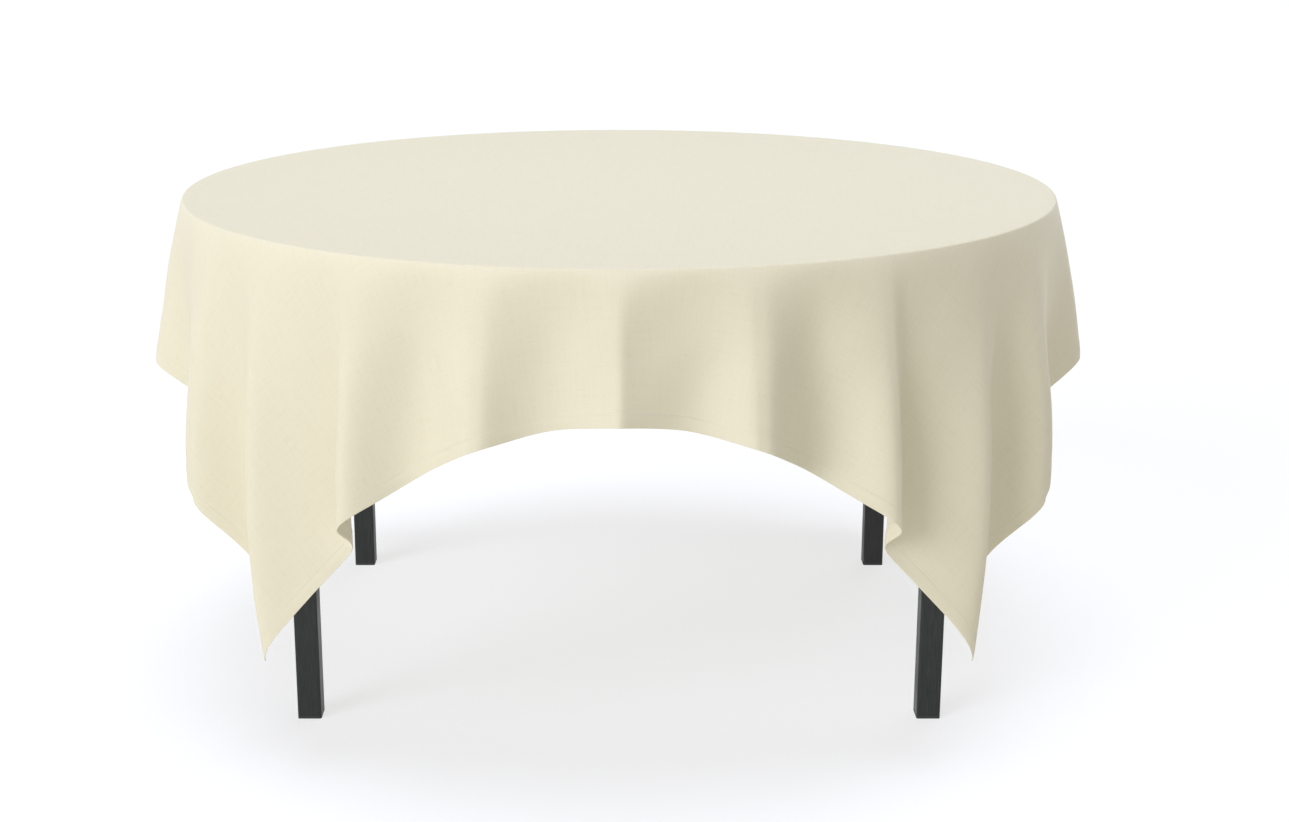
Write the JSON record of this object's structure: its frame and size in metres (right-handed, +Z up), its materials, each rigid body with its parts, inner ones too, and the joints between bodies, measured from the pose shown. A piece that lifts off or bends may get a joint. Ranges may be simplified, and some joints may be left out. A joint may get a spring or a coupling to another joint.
{
  "type": "tablecloth on a table",
  "caption": "Ivory square tablecloth draped in soft flutes over a round table on slim black square legs; the corners hang in points and the cloth lifts off.",
  "frame": {"origin": "on the floor under the middle of the table", "axes": "+Z up, -Y towards the front, +X to the right"},
  "size_m": [1.4466, 1.4466, 0.763],
  "materials": {
    "ivory_cloth": "matte",
    "ivory_thread": "satin",
    "white_tape": "satin",
    "black_lacquered_wood": "satin",
    "black_plastic": "matte",
    "particle_board": "matte",
    "pale_laminate": "satin",
    "dark_edging": "matte",
    "zinc_steel": "satin"
  },
  "bodies": {
    "table": {"tabletop_core": "particle_board", "top_laminate": "pale_laminate", "backer_sheet": "pale_laminate", "edge_band": "dark_edging", "rail_front": "black_lacquered_wood", "rail_back": "black_lacquered_wood", "rail_left": "black_lacquered_wood", "rail_right": "black_lacquered_wood", "leg_front_left": "black_lacquered_wood", "leg_front_right": "black_lacquered_wood", "leg_back_left": "black_lacquered_wood", "leg_back_right": "black_lacquered_wood", "foot_front_left": "black_plastic", "foot_front_right": "black_plastic", "foot_back_left": "black_plastic", "foot_back_right": "black_plastic", "bracket_front_left": "zinc_steel", "bracket_front_right": "zinc_steel", "bracket_back_left": "zinc_steel", "bracket_back_right": "zinc_steel", "hanger_bolts": "zinc_steel", "washers": "zinc_steel", "wing_nuts": "zinc_steel", "bracket_screws": "zinc_steel", "top_clips": "zinc_steel", "clip_screws": "zinc_steel", "foot_screws": "zinc_steel"},
    "tablecloth": {"cloth_panel": "ivory_cloth", "hem_front": "ivory_cloth", "hem_right": "ivory_cloth", "hem_back": "ivory_cloth", "hem_left": "ivory_cloth", "hem_stitching": "ivory_thread", "care_label": "white_tape"}
  },
  "joints": [
    {"name": "cloth_lift", "type": "slide", "parent": "table", "child": "tablecloth", "axis": [0, 0, 1], "range_m": [0, 0.65]}
  ]
}
